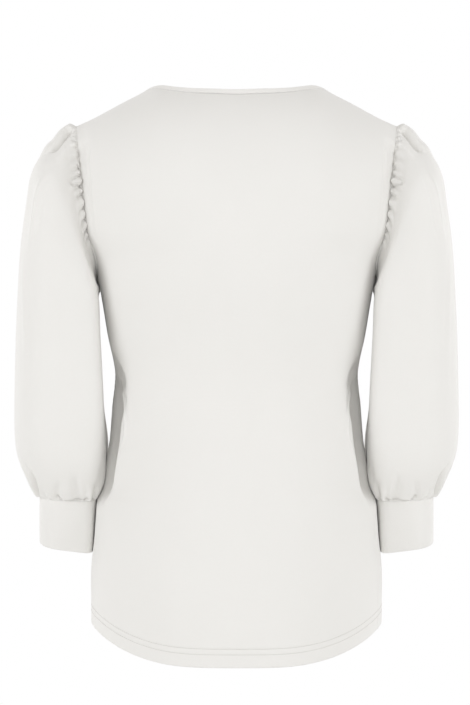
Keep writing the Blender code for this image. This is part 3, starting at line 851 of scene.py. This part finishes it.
class SleeveSurface(Surface):
    """Outer face of a sleeve, by angle and run, eased out of the armhole it is sewn into."""

    ring_columns = 721
    ring_end = 1.9999           # last place down the panels that still counts as armhole
    ease_run = 0.06
    rise_run = 0.005
    head_hold = 0.0012
    foot_hold = 0.0007
    parting = 2.2               # how keenly the head's puffs stay parted down the sleeve
    crown_height = 0.0054
    crown_rise = 0.008
    crown_fall = (0.040, 0.024)     # run at which it starts to die away, and over how much
    crown_edges = ((0.0, 11.0), (0.007, 18.0), (0.012, 22.5), (0.019, 27.0), (0.024, 28.5),
                   (0.040, 28.0), (0.050, 25.0), (0.060, 22.0))   # run, half width in degrees
    crown_fullness = 6.0

    def __init__(self, side: Side, panels: dict[Face, PanelSurface]) -> None:
        """Join the head to the armhole and lay the sleeve's folds.

        Args:
            side: The wearer's side.
            panels: Both panels.
        """
        self.side = side
        self.turn = float(side)
        self.form = ArmForm(side, SLEEVE_SECTIONS)
        self.ring_angles = np.linspace(-180.0, 180.0, self.ring_columns)
        self.ring = self._seam_ring(panels) - self.form.point(self.ring_angles,
                                                             np.zeros_like(self.ring_angles))
        self.fold_lines = laid(SLEEVE_FOLDS, self.base, (1, -1))

    def _seam_ring(self, panels: dict[Face, PanelSurface]) -> Array:
        """Find the seam line, just clear of the panels' finished edges.

        Args:
            panels: Both panels.

        Returns:
            One point for each of the ring's angles.
        """
        ring = np.empty((len(self.ring_angles), 3))
        for face, panel in panels.items():
            chosen = (self.ring_angles >= 0.0) == (face == Face.BACK)
            down = np.minimum(np.abs(self.ring_angles[chosen]) / 90.0, self.ring_end)
            edge, normal, _ = panel.finished(np.full_like(down, float(self.side)), down)
            ring[chosen] = edge + unit(normal + (float(self.side), 0.0, 0.0)) * SEAM_GAP
        return ring

    def base(self, first: Array, second: Array) -> Array:
        """Points of the sleeve without its puffs and folds."""
        fade = np.clip(1.0 - second / self.ease_run, 0.0, 1.0) ** 2
        ease = read_line(wrapped(first), self.ring_angles, self.ring)
        return self.form.point(first, second) + ease * fade[..., None]

    def bumps(self, first: Array, second: Array) -> Array:
        """Raise the crown, which rolls over into a valley on either side, the puffs between
        the gathers, parted keenly at the seam and softly further down, and the cuff's puffs.

        Args:
            first: Angles.
            second: Runs.

        Returns:
            Heights.
        """
        size = np.abs(wrapped(first))
        left = self.form.length - second
        share = np.clip(size / np.interp(second, *zip(*self.crown_edges)), 0.0, 1.0)
        start, over = self.crown_fall
        fall = smooth(second / self.crown_rise) * (1.0 - smooth((second - start) / over))
        height = self.crown_height * (1.0 - share ** self.crown_fullness) * fall
        rise = smooth(second / self.rise_run)
        ends = [row[0] for row in HEAD_GATHERS[1:]] + [LAST_GATHER_ANGLE]
        for (start, puff, reach), end in zip(HEAD_GATHERS, ends):
            share = np.clip((size - start) / (end - start), 0.0, 1.0)
            away = smooth(second / reach)
            wave = np.sin(math.pi * share) ** mix(1.0, self.parting, away)
            wave = np.where((share > 0.0) & (share < 1.0), wave, 0.0)
            height += puff * wave * rise * (1.0 - away)
        rise = smooth(left / self.rise_run)
        for angle, puff, reach, half_width in CUFF_PUFFS:
            away = np.clip(np.abs(wrapped(first - angle)) / half_width, 0.0, 1.0)
            wave = np.cos(math.pi / 2.0 * away) ** 2
            height += puff * wave * rise * (1.0 - smooth(left / reach))
        return height

    def held(self, second: Array) -> Array:
        """None of the height at the seams, which hold the cloth, and all of it elsewhere."""
        left = self.form.length - second
        return smooth(second / self.head_hold) * smooth(left / self.foot_hold)


class CuffSurface(Surface):
    """Outer face of a cuff, by angle and run."""

    def __init__(self, side: Side) -> None:
        """Lay the cuff's dents.

        Args:
            side: The wearer's side.
        """
        self.turn = float(side)
        self.form = ArmForm(side, CUFF_SECTIONS)
        self.fold_lines = laid(CUFF_DENTS, self.base)

    def base(self, first: Array, second: Array) -> Array:
        """Points of the cuff, a seam's gap below the sleeve."""
        return self.form.point(first, second) - (0.0, 0.0, SEAM_GAP)


# ---- neckband


class BandSurface(Surface):
    """Outer face of the neckband, by the turn round the neck (0 mid back) and its height."""

    steps = (0.5, 0.0005)
    ring_columns = 1441
    side_lean = 58.0
    middle_lean = Pair(18.0, 10.0)

    def __init__(self, body: BodyForm, panels: dict[Face, PanelSurface]) -> None:
        """Find the points on which the band stands.

        Args:
            body: Form of the body.
            panels: Both panels.
        """
        self.body = body
        self.turns = np.linspace(-180.0, 180.0, self.ring_columns)
        self.feet = np.empty((len(self.turns), 3))
        out = body.neck_half_width * np.abs(np.sin(np.radians(self.turns)))
        behind = np.abs(self.turns) <= 90.0
        for face, chosen in ((Face.BACK, behind), (Face.FRONT, ~behind)):
            across = body.across_at(face, out[chosen])
            across = across * np.where(self.turns[chosen] < 0.0, -1.0, 1.0)
            self.feet[chosen] = panels[face].neck_edge(across)

    def base(self, first: Array, second: Array) -> Array:
        """Find points of the band.

        Args:
            first: Turns round the neck.
            second: Heights above the neck edge.

        Returns:
            The points.
        """
        turn = wrapped(first)
        foot = read_line(turn, self.turns, self.feet)
        behind = np.abs(turn) <= 90.0
        depth = np.where(behind, *self.body.neck_depth)
        outward = unit(points(foot[..., 0] / self.body.neck_half_width ** 2,
                              foot[..., 1] / depth ** 2, 0.0))
        upright = np.where(behind, *self.middle_lean)
        lean = np.radians(mix(upright, self.side_lean, np.abs(outward[..., 0])))[..., None]
        rise = points(0.0, 0.0, np.cos(lean[..., 0])) - outward * np.sin(lean)
        return foot + rise * (second + SEAM_GAP)[..., None]


# ---- shells


class Lay(NamedTuple):
    """Where one row of a shell lies: its place, and how far it has turned off the surface."""

    place: float
    inset: float = 0.0
    beyond: float = 0.0


def seam(place: float) -> list[Lay]:
    """Rows of an edge sewn to its neighbour: a short allowance, then the seam line."""
    return [Lay(place, SEAM_TURN), Lay(place)]


def turned_edge(edge: float, back_to: float, rows: int) -> list[Lay]:
    """Rows round the fold of a turned edge and back up behind it.

    Args:
        edge: Second coordinate of the fold.
        back_to: Where the turned layer ends.
        rows: How many rows it has.

    Returns:
        The rows, ready to follow those of the outer layer.
    """
    turns = banded(0.0, (math.pi, TURN_STEPS))[1:]
    fold = [Lay(edge, TURN_RADIUS * (1.0 - math.cos(turn)), TURN_RADIUS * math.sin(turn))
            for turn in turns]
    return fold + [Lay(place, 2.0 * TURN_RADIUS) for place in banded(edge, (back_to, rows))[1:]]


def add_object(name: str, data: bpy.types.ID) -> bpy.types.Object:
    """Put new data into the scene as an object at the origin."""
    made = bpy.data.objects.new(name, data)
    bpy.context.scene.collection.objects.link(made)
    return made


def add_mesh(mesh: bpy.types.Mesh, material: bpy.types.Material) -> bpy.types.Object:
    """Put a mesh into the scene, smooth and with its material.

    Args:
        mesh: The mesh, whose name the object takes.
        material: Its material.

    Returns:
        The object.
    """
    mesh.shade_smooth()
    mesh.materials.append(material)
    LOG.info("%s: %d faces", mesh.name, len(mesh.polygons))
    return add_object(mesh.name, mesh)


@dataclass
class Shell:
    """A sheet of cloth laid on a surface, with a thin wall."""

    name: str
    surface: Surface
    columns: Sequence[float]
    lays: Sequence[Lay]
    closed: bool = False

    def build(self, material: bpy.types.Material) -> bpy.types.Object:
        """Make the shell.

        Args:
            material: Its cloth.

        Returns:
            An object with a UV map and with a wall inside its outer face.
        """
        bm = bmesh.new()
        bmesh.ops.create_grid(bm, x_segments=len(self.columns) - 1,
                              y_segments=len(self.lays) - 1, size=0.5)
        corners = np.array([vert.co[:2] for vert in bm.verts])
        column = np.rint((corners[:, 0] + 0.5) * (len(self.columns) - 1)).astype(int)
        row = np.rint((0.5 - corners[:, 1]) * (len(self.lays) - 1)).astype(int)
        place, normal = self._places(column, row)
        for vert, point in zip(bm.verts, place):
            vert.co = point
        self._unfold(bm, column, row, place)
        if self.closed:
            bmesh.ops.remove_doubles(bm, verts=bm.verts, dist=WELD_DISTANCE)
        bm.normal_update()
        bm.faces.ensure_lookup_table()
        first = bm.faces[0]
        nearest = int(np.argmin(np.linalg.norm(place - np.array(first.verts[0].co), axis=1)))
        if first.normal.dot(Vector(normal[nearest])) < 0.0:
            bmesh.ops.reverse_faces(bm, faces=bm.faces)
        mesh = bpy.data.meshes.new(self.name)
        bm.to_mesh(mesh)
        bm.free()
        piece = add_mesh(mesh, material)
        wall = piece.modifiers.new("wall", "SOLIDIFY")
        wall.thickness = CLOTH_WALL
        wall.offset = -1.0
        return piece

    def _places(self, column: Array, row: Array) -> tuple[Array, Array]:
        """Lay the grid's corners.

        Args:
            column: Their columns.
            row: Their rows.

        Returns:
            Points and normals.
        """
        table = np.array(self.lays, float)[row]
        first = np.array(self.columns, float)[column]
        second = self.surface.on_surface(first, table[:, 0])
        place, normal, along = self.surface.finished(first, second)
        place = place - normal * table[:, 1:2] + along * table[:, 2:3]
        facing = np.where(row < len(self.lays) // 2, 1.0, -1.0)[:, None]
        return place, normal * np.where(table[:, 1:2] > TURN_RADIUS, facing, 1.0)

    def _unfold(self, bm: bmesh.types.BMesh, column: Array, row: Array, place: Array) -> None:
        """Give the grid a UV map in metres of cloth.

        Args:
            bm: The grid.
            column: Its corners' columns.
            row: Their rows.
            place: Their points.
        """
        grid = np.empty((len(self.lays), len(self.columns), 3))
        grid[row, column] = place
        u = lengths_along(grid[len(self.lays) // 2])
        v = lengths_along(grid[:, len(self.columns) // 2])
        layer = bm.loops.layers.uv.new("cloth")
        for vert, one, two in zip(bm.verts, u[column], -v[row]):
            for loop in vert.link_loops:
                loop[layer].uv = (one, two)


# ---- finishes


@dataclass
class Signal:
    """An output socket that can stand in sums and products."""

    graph: "ShaderGraph"
    socket: bpy.types.NodeSocket

    def __add__(self, other: "Signal | float") -> "Signal":
        """Sum."""
        return self.graph.maths("ADD", self, other)

    def __mul__(self, other: "Signal | float") -> "Signal":
        """Product."""
        return self.graph.maths("MULTIPLY", self, other)

    __radd__ = __add__
    __rmul__ = __mul__


class ShaderGraph:
    """Nodes of one material."""

    def __init__(self, name: str) -> None:
        """Start a material.

        Args:
            name: Its name.
        """
        self.material = bpy.data.materials.new(name)
        self.material.use_nodes = True
        self.nodes = self.material.node_tree.nodes
        self.links = self.material.node_tree.links

    def node(self, kind: str, output: str | int, inputs: dict[str | int, object],
             **settings: object) -> Signal:
        """Add a node.

        Args:
            kind: Its type.
            output: Name or place of the socket that is wanted.
            inputs: Values or signals of its sockets, by name or place.
            settings: Its properties, set first.

        Returns:
            What the wanted socket gives.
        """
        made = self.nodes.new(kind)
        for key, value in settings.items():
            setattr(made, key, value)
        self.feed(made, inputs)
        return Signal(self, made.outputs[output])

    def feed(self, node: bpy.types.Node, inputs: dict[str | int, object]) -> None:
        """Set sockets of a node or link signals to them.

        Args:
            node: The node.
            inputs: Values or signals, by the socket's name or place.
        """
        for key, value in inputs.items():
            if isinstance(value, Signal):
                self.links.new(value.socket, node.inputs[key])
            else:
                node.inputs[key].default_value = value

    def maths(self, operation: str, first: object, second: object) -> Signal:
        """One sum or product of two numbers."""
        return self.node("ShaderNodeMath", 0, {0: first, 1: second}, operation=operation)

    def object_place(self) -> Signal:
        """Place in metres of the piece's own frame."""
        return self.node("ShaderNodeTexCoord", "Object", {})

    def noise(self, place: Signal, scale: float, detail: float) -> Signal:
        """Soft noise from 0 to 1 with so many lumps to a metre."""
        return self.node("ShaderNodeTexNoise", "Fac",
                         {"Vector": place, "Scale": scale, "Detail": detail})

    def blend(self, share: Signal, first: Sequence[float], second: Sequence[float]) -> Signal:
        """Colour between two colours."""
        return self.node("ShaderNodeMix", 2, {0: share, 6: (*first, 1.0), 7: (*second, 1.0)},
                         data_type="RGBA")

    def bump(self, height: Signal, strength: float, distance: float) -> Signal:
        """Normal of a surface with small heights on it."""
        return self.node("ShaderNodeBump", "Normal", {"Strength": strength, "Height": height,
                                                      "Distance": distance})

    def paint(self, inputs: dict[str, object]) -> bpy.types.Material:
        """Finish the material with values and signals for its shader."""
        self.feed(self.nodes["Principled BSDF"], inputs)
        return self.material


@dataclass(frozen=True)
class CrepeJersey:
    """Soft crepe jersey: fine uneven grain over faint knitted rows, with a little sheen."""

    name: str
    pale: tuple[float, float, float] = (0.860, 0.852, 0.828)
    deep: tuple[float, float, float] = (0.810, 0.801, 0.775)
    roughness: float = 0.80
    roughness_spread: float = 0.12
    sheen: float = 0.35
    drift_scale: float = 14.0
    slub_scale: float = 420.0
    grain_scale: float = 1300.0
    rows_scale: float = 230.0
    bump_height: float = 0.00022

    def make(self) -> bpy.types.Material:
        """Mix drift, slubs and grain into the colour, and slubs, grain and rows into the bump.

        Returns:
            The material.
        """
        graph = ShaderGraph(self.name)
        place = graph.object_place()
        drift, slub, grain = (graph.noise(place, scale, 2.0) for scale in
                              (self.drift_scale, self.slub_scale, self.grain_scale))
        cloth_place = graph.node("ShaderNodeUVMap", "UV", {}, uv_map="cloth")
        rows = graph.node("ShaderNodeTexWave", "Fac",
                          {"Vector": cloth_place, "Scale": self.rows_scale,
                           "Distortion": 0.6, "Detail": 1.0, "Detail Scale": 2.0},
                          bands_direction="Y", wave_profile="SIN")
        shade = drift * 0.45 + slub * 0.25 + grain * 0.30
        height = grain * 0.55 + slub * 0.30 + rows * 0.15
        spread_from = self.roughness - self.roughness_spread / 2.0
        return graph.paint({
            "Base Color": graph.blend(shade, self.pale, self.deep),
            "Roughness": grain * self.roughness_spread + spread_from,
            "Normal": graph.bump(height, 0.55, self.bump_height),
            "Sheen Weight": self.sheen, "Sheen Roughness": 0.45, "Specular IOR Level": 0.25})


@dataclass(frozen=True)
class SewingThread:
    """Spun polyester thread: finely twisted and a little glossier than the cloth."""

    name: str
    colour: tuple[float, float, float] = (0.640, 0.622, 0.590)
    deep: tuple[float, float, float] = (0.520, 0.502, 0.470)
    twist_scale: float = 2600.0
    bump_height: float = 0.0001

    def make(self) -> bpy.types.Material:
        """Build the material."""
        graph = ShaderGraph(self.name)
        twist = graph.noise(graph.object_place(), self.twist_scale, 1.0)
        return graph.paint({"Base Color": graph.blend(twist, self.colour, self.deep),
                            "Roughness": twist * 0.2 + 0.42,
                            "Normal": graph.bump(twist, 0.4, self.bump_height)})


# ---- pieces


@dataclass(frozen=True)
class Cut:
    """Flat cut of a piece in metres: its width, length and area, and what holds it."""

    width: float
    length: float
    area: float
    held: str
    rests_on: tuple[str, ...]


def dress(piece: bpy.types.Object) -> None:
    """Let a shell stand for its CAD node: hang it on the body and hide that node.

    Args:
        piece: The shell's object.
    """
    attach(piece, BODY)
    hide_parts(piece.name.removesuffix("_cloth"))


@dataclass
class BodyPanels:
    """Back and front panels, each with its hem turned up inside it."""

    body: BodyForm
    cuts: tuple[Cut, Cut] = (Cut(0.420, 0.660, 0.235, "draped", ("front", "neckband")),
                             Cut(0.480, 0.660, 0.255, "draped", ("back", "neckband")))
    hem_turn: float = 0.024
    groove_heights: tuple[float, float] = (0.0131, 0.0191)
    side_gap: float = 0.0003
    neck_columns: int = 36
    shoulder_columns: int = 18
    edge_columns: int = 34
    edge_share: float = 0.84
    row_bands: tuple[tuple[float, int], ...] = ((1.0, 54), (2.0, 46), (2.925, 70), (3.0, 36))
    turned_rows: int = 12

    def surfaces(self) -> dict[Face, PanelSurface]:
        """Surfaces of both panels."""
        return {face: PanelSurface(self.body, face, self.groove_heights) for face in Face}

    def columns(self, face: Face) -> list[float]:
        """Choose the columns, one of them at the corner of neck edge and shoulder.

        Args:
            face: The panel.

        Returns:
            Their places across it.
        """
        turns = np.radians(banded(0.0, (90.0, self.neck_columns))[:-1])
        half = list(self.body.across_at(face, self.body.neck_half_width * np.sin(turns)))
        last = 1.0 - self.side_gap
        close = last - EDGE_ROW / self.body.shoulder_x
        half += banded(self.body.neck_corner(face), (self.edge_share, self.shoulder_columns),
                       (close, self.edge_columns)) + [last]
        return [-place for place in reversed(half[1:])] + half

    def build(self, surfaces: dict[Face, PanelSurface], cloth: bpy.types.Material) -> None:
        """Build and dress both panels, from the top edge down and up again behind the hem.

        Args:
            surfaces: Their surfaces.
            cloth: Their cloth.
        """
        back = 3.0 - self.hem_turn / (self.body.hem_drop - self.body.underarm_drop)
        lays = [Lay(place) for place in banded(0.0, *self.row_bands)]
        lays += turned_edge(3.0, back, self.turned_rows)
        for (face, surface), cut in zip(surfaces.items(), self.cuts):
            shell = Shell(face.name.lower() + "_cloth", surface, self.columns(face), lays)
            dress(shell.build(cloth))


@dataclass
class Sleeves:
    """Both puffed sleeves with their folded cuffs."""

    panels: dict[Face, PanelSurface]
    cut: Cut = Cut(0.420, 0.480, 0.165, "gathered", ("back", "front"))
    cuff_flat: tuple[float, float, float] = (0.240, 0.104, 0.0249)
    gathered_columns: int = 208
    plain_columns: int = 26
    row_bands: tuple[tuple[float, int], ...] = ((0.020, 26), (0.090, 34), (0.390, 72))
    lower_rows: int = 40
    cuff_columns: int = 160
    cuff_rows: int = 26
    cuff_back_rows: int = 12

    def build(self, cloth: bpy.types.Material, band_cloth: bpy.types.Material) -> None:
        """Build and dress both sleeves, with close rows at both seams, and both cuffs, down
        the outside and up again behind it.

        Args:
            cloth: Of the sleeves.
            band_cloth: Of the cuffs.
        """
        gathered = (LAST_GATHER_ANGLE, self.gathered_columns)
        angles = banded(-180.0, (-LAST_GATHER_ANGLE, self.plain_columns), gathered,
                        (180.0, self.plain_columns))
        cuff_angles = banded(-180.0, (180.0, self.cuff_columns))
        for side in Side:
            name = f"sleeve_{side.name.lower()}"
            sleeve, cuff = SleeveSurface(side, self.panels), CuffSurface(side)
            length, cuff_length = sleeve.form.length, cuff.form.length
            rows = banded(EDGE_ROW, *self.row_bands, (length - EDGE_ROW, self.lower_rows))
            lays = seam(0.0) + [Lay(row) for row in rows] + seam(length)[::-1]
            shell = Shell(name + "_cloth", sleeve, angles, lays, closed=True)
            dress(shell.build(cloth))
            rows = banded(EDGE_ROW, (cuff_length, self.cuff_rows))
            lays = seam(0.0) + [Lay(row) for row in rows]
            lays += turned_edge(cuff_length, 0.0, self.cuff_back_rows)
            shell = Shell(name.replace("sleeve", "cuff") + "_cloth", cuff, cuff_angles, lays,
                          closed=True)
            dress(shell.build(band_cloth))


@dataclass
class Neckband:
    """Narrow folded band round the neck."""

    body: BodyForm
    panels: dict[Face, PanelSurface]
    cut: Cut = Cut(0.560, 0.014, 0.00784, "stretched", ("back", "front"))
    height: float = 0.0062
    columns: int = 288
    roll: float = 0.0010        # how far its lower edge rolls in to the seam
    roll_up: float = 0.35       # shares of the roll at which the edge's own row lies
    roll_in: float = 0.45
    rows: int = 9

    def build(self, cloth: bpy.types.Material) -> None:
        """Build and dress the band.

        Args:
            cloth: Its cloth.
        """
        surface = BandSurface(self.body, self.panels)
        top = self.height - TURN_RADIUS
        lays = [Lay(0.0, SEAM_TURN), Lay(self.roll * self.roll_up, self.roll * self.roll_in)]
        lays += [Lay(place) for place in banded(self.roll, (top, self.rows))]
        lays += turned_edge(top, 0.0, self.rows)
        turns = banded(-180.0, (180.0, self.columns))
        shell = Shell("neckband_cloth", surface, turns, lays, closed=True)
        dress(shell.build(cloth))


@dataclass
class HemStitching:
    """Two parallel rows of stitches that hold the turned hem."""

    panels: dict[Face, PanelSurface]
    heights: tuple[float, float]
    pitch: float = 0.0030
    stitch_share: float = 0.80
    radius: float = 0.00022
    sunk: float = 0.00005
    reach: float = 0.998
    samples: int = 900

    def _row(self, panel: PanelSurface, height: float, stitch: Array) -> Array:
        """Lay one row of stitches along a panel.

        Args:
            panel: The panel.
            height: The row's height above the hem's edge.
            stitch: Corners of a single stitch.

        Returns:
            Corners of every stitch.
        """
        across = np.linspace(-self.reach, self.reach, self.samples)
        place, normal, _ = panel.finished(across, panel.above_hem(across, height))
        length = lengths_along(place)
        count = int(length[-1] / self.pitch)
        centres = (np.arange(count) + 0.5) * length[-1] / count
        start, end = (read_line(centres + shift, length, place)
                      for shift in (-self.pitch / 2.0, self.pitch / 2.0))
        out, along = unit(read_line(centres, length, normal)), unit(end - start)
        side = unit(np.cross(out, along))
        middle = (start + end) / 2.0 + out * (self.radius - self.sunk)
        size = np.array([self.pitch / 2.0 * self.stitch_share, self.radius, self.radius])
        frames = np.stack([along, side, out], axis=1)
        return middle[:, None, :] + np.einsum("va,sak->svk", stitch * size, frames)

    def build(self, thread: bpy.types.Material) -> None:
        """Build the stitches of each panel as one piece.

        Args:
            thread: Their material.
        """
        bm = bmesh.new()
        bmesh.ops.create_uvsphere(bm, u_segments=6, v_segments=6, radius=1.0,
                                  matrix=Matrix.Rotation(math.radians(90.0), 4, "Y"))
        stitch = np.array([vert.co for vert in bm.verts])
        # Sorted, since the operator gives its faces in an order that varies.
        faces = sorted([vert.index for vert in face.verts] for face in bm.faces)
        bm.free()
        for face, panel in self.panels.items():
            rows = [self._row(panel, height, stitch) for height in self.heights]
            corners = np.concatenate(rows).reshape(-1, 3)
            starts = range(0, len(corners), len(stitch))
            mesh = bpy.data.meshes.new(f"hem_stitches_{face.name.lower()}")
            mesh.from_pydata(corners.tolist(), [], [[start + index for index in corner]
                                                    for start in starts for corner in faces])
            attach(add_mesh(mesh, thread), BODY)


# ---- studio


@dataclass(frozen=True)
class SoftBox:
    """A square studio light, placed round the garment by its turn from the camera."""

    name: str
    turn: float
    drop: float
    away: float
    size: float
    watts: float


@dataclass
class Studio:
    """Pale floor, white surroundings, soft lights and the camera."""

    target: Vector = field(default_factory=lambda: Vector((-0.00166, 0.0, -0.2867)))
    distance: float = 2.6
    lens: float = 120.15
    sensor: float = 36.0
    floor_drop: float = 1.28
    floor_radius: float = 3.4
    floor_colour: tuple[float, float, float] = (0.88, 0.88, 0.87)
    surround: tuple[float, float, float] = (0.490, 0.473, 0.452)
    lamp_colour: tuple[float, float, float] = (0.982, 1.0, 1.032)
    boxes: tuple[SoftBox, ...] = (
        SoftBox("left_key", -58.0, -0.45, 2.4, 1.8, 19.5),
        SoftBox("right_key", 58.0, -0.45, 2.4, 1.8, 19.5),
        SoftBox("fill", 0.0, -0.30, 3.4, 2.2, 22.0),
        SoftBox("left_rim", -132.0, -0.45, 2.4, 1.8, 19.0),
        SoftBox("right_rim", 132.0, -0.45, 2.4, 1.8, 19.0),
    )

    def build(self) -> None:
        """Set up everything round the garment."""
        self._floor()
        self._surround()
        for box in self.boxes:
            self._light(box)
        self._camera()
        bpy.context.scene.view_settings.view_transform = "Standard"

    def _floor(self) -> None:
        """Lay a plain pale floor below the hem."""
        bm = bmesh.new()
        bmesh.ops.create_circle(bm, cap_ends=True, segments=96, radius=self.floor_radius,
                                matrix=Matrix.Translation((0.0, 0.0, -self.floor_drop)))
        mesh = bpy.data.meshes.new("floor")
        bm.to_mesh(mesh)
        bm.free()
        mesh.materials.append(ShaderGraph("floor_paint").paint(
            {"Base Color": (*self.floor_colour, 1.0), "Roughness": 0.9}))
        floor = add_object("floor", mesh)

    def _surround(self) -> None:
        """Put white surroundings on every side, which light the top less than they show."""
        world = bpy.data.worlds.new("surround")
        world.use_nodes = True
        nodes, links = world.node_tree.nodes, world.node_tree.links
        path = nodes.new("ShaderNodeLightPath")
        colour = nodes.new("ShaderNodeMix")
        colour.data_type = "RGBA"
        colour.inputs[6].default_value = (*self.surround, 1.0)
        colour.inputs[7].default_value = (1.0, 1.0, 1.0, 1.0)
        links.new(path.outputs["Is Camera Ray"], colour.inputs[0])
        links.new(colour.outputs[2], nodes["Background"].inputs["Color"])
        bpy.context.scene.world = world

    def _light(self, box: SoftBox) -> None:
        """Hang one soft light, turned to the garment.

        Args:
            box: The light.
        """
        data = bpy.data.lights.new(box.name, "AREA")
        data.shape = "SQUARE"
        data.size = box.size
        data.energy = box.watts
        data.color = self.lamp_colour
        light = add_object(box.name, data)
        turn = math.radians(box.turn)
        light.location = (box.away * math.sin(turn), -box.away * math.cos(turn), -box.drop)
        aim = (self.target - light.location).to_track_quat("-Z", "Y")
        light.rotation_euler = aim.to_euler()

    def _camera(self) -> None:
        """Set the level camera straight behind the wearer."""
        data = bpy.data.cameras.new("camera")
        data.sensor_width = self.sensor
        data.lens = self.lens
        camera = add_object("camera", data)
        camera.location = self.target - Vector((0.0, self.distance, 0.0))
        camera.rotation_euler = (math.radians(90.0), 0.0, 0.0)
        bpy.context.scene.camera = camera


def main() -> None:
    """Build the top piece by piece, then the studio round it."""
    logging.basicConfig(level=logging.INFO, format="%(message)s")
    cloth = CrepeJersey("crepe_jersey").make()
    band_cloth = CrepeJersey("crepe_jersey_band", drift_scale=22.0).make()
    thread = SewingThread("sewing_thread").make()
    body = BodyForm()
    panels = BodyPanels(body)
    surfaces = panels.surfaces()
    panels.build(surfaces, cloth)
    Sleeves(surfaces).build(cloth, band_cloth)
    Neckband(body, surfaces).build(band_cloth)
    HemStitching(surfaces, panels.groove_heights).build(thread)
    Studio().build()


if __name__ == "__main__":
    main()
